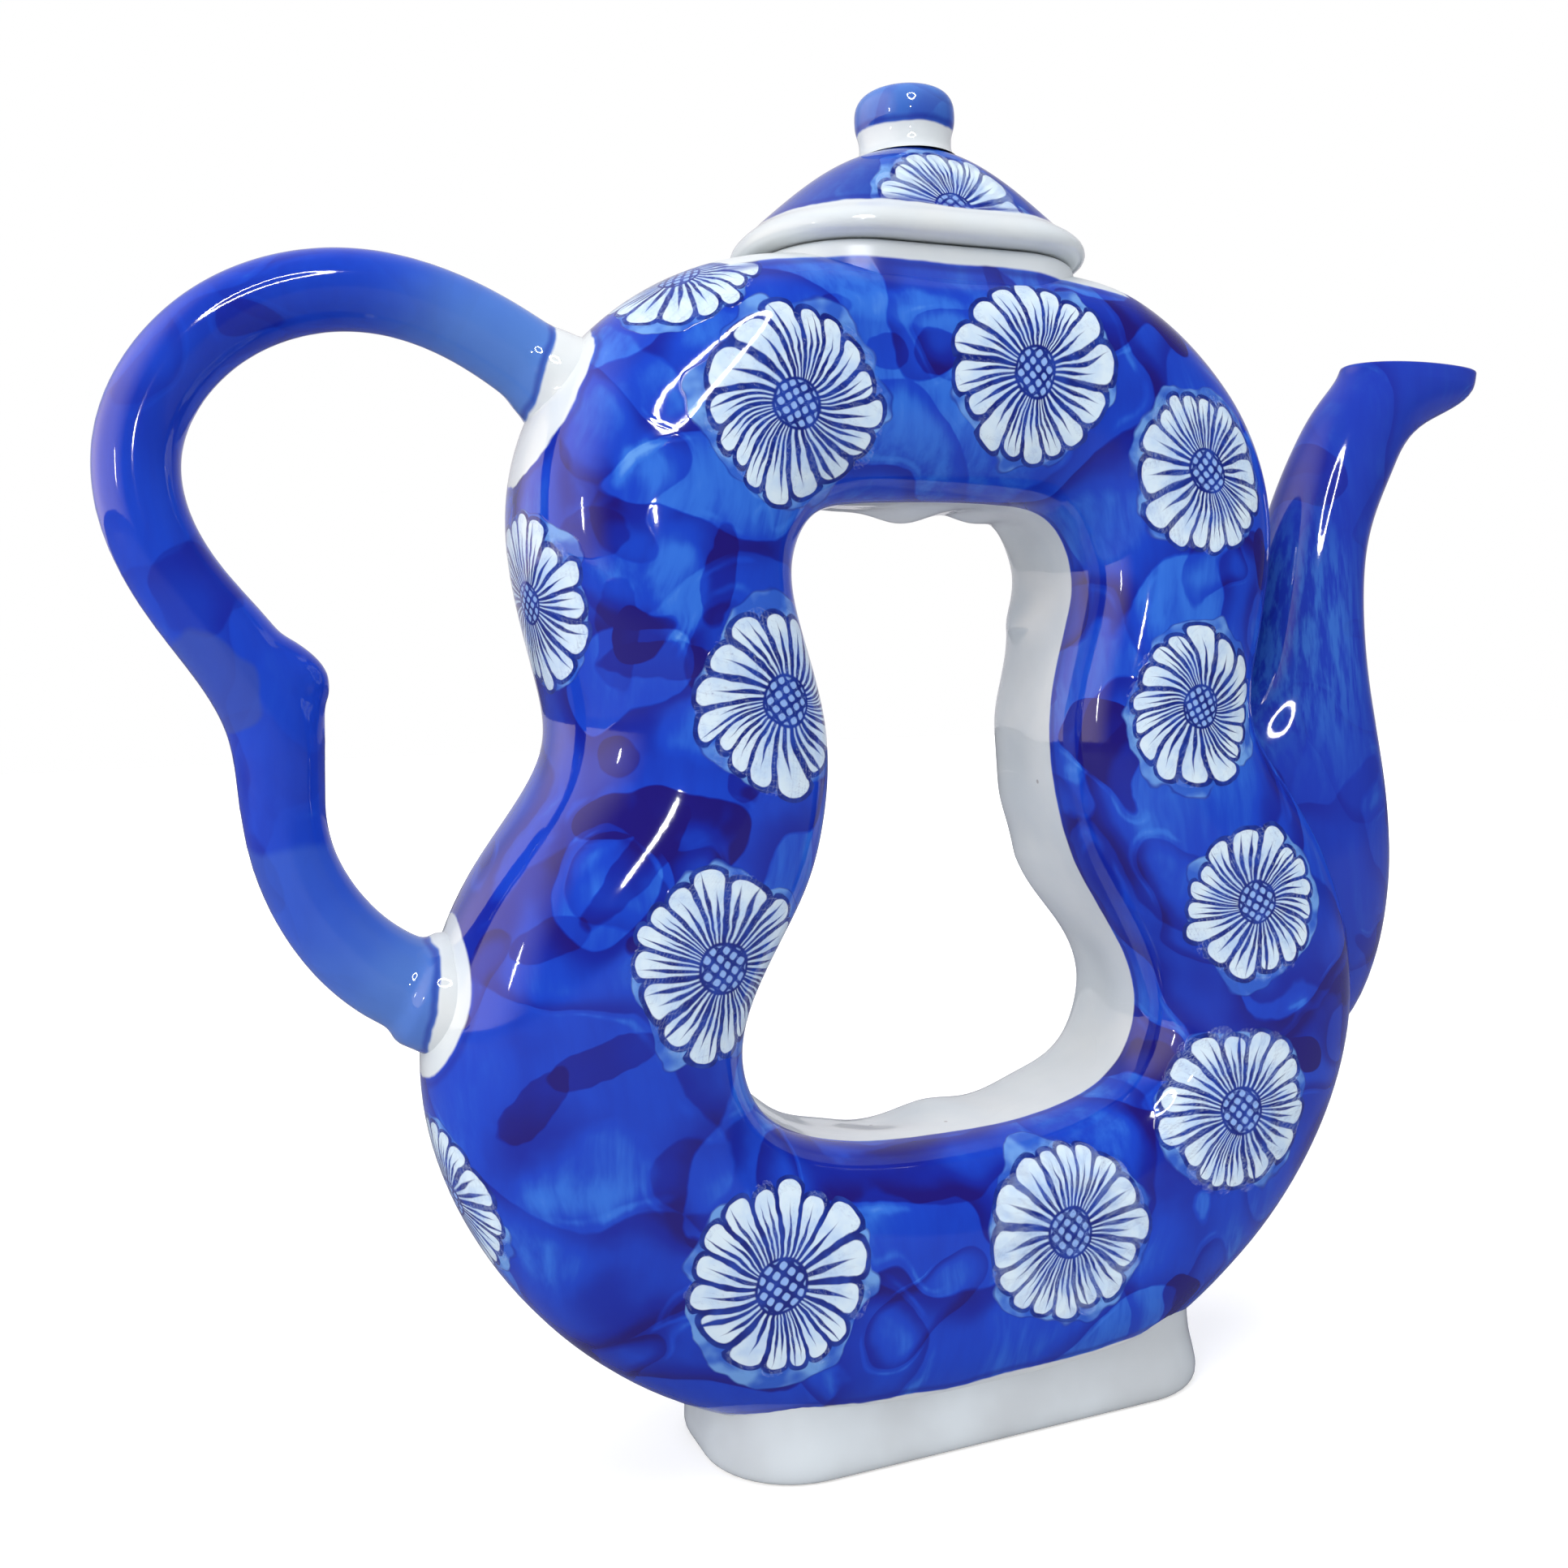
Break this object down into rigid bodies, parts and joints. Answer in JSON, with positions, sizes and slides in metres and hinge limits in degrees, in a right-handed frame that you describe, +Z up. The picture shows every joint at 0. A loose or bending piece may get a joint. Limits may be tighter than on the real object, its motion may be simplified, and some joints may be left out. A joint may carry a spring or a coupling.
{
  "type": "porcelain teapot",
  "caption": "Tall pierced double-gourd porcelain teapot with an hourglass window through the body, a loop handle with a thumb spur, a curved spout and a domed lift-off lid.",
  "frame": {"origin": "under the middle of the whole pot, from handle to spout, on the plane of the foot's underside", "axes": "+X towards the spout, -Y the front face, +Z up"},
  "size_m": [0.2572, 0.043, 0.2267],
  "materials": {
    "cobalt_glaze": "glossy hand-brushed cobalt under a clear glaze, with white chrysanthemums",
    "light_cobalt_glaze": "glossy hand-brushed lighter cobalt under a clear glaze",
    "white_glaze": "glossy bluish white glaze",
    "bare_porcelain": "matte unglazed porcelain"
  },
  "bodies": {
    "pot": {"body_front_half": "cobalt_glaze", "body_back_half": "cobalt_glaze", "window_wall": "white_glaze", "foot_ring": "white_glaze", "mouth_collar": "white_glaze", "strainer": "bare_porcelain", "spout": "cobalt_glaze", "handle": "light_cobalt_glaze", "handle_upper_collar": "white_glaze", "handle_lower_collar": "white_glaze"},
    "lid": {"lid_rim": "white_glaze", "lid_dome": "cobalt_glaze", "lid_flange": "bare_porcelain", "lid_knob": "cobalt_glaze"}
  },
  "joints": [
    {"name": "lid_lift", "type": "slide", "parent": "pot", "child": "lid", "axis": [0, 0, 1], "range_m": [0, 0.06]}
  ]
}
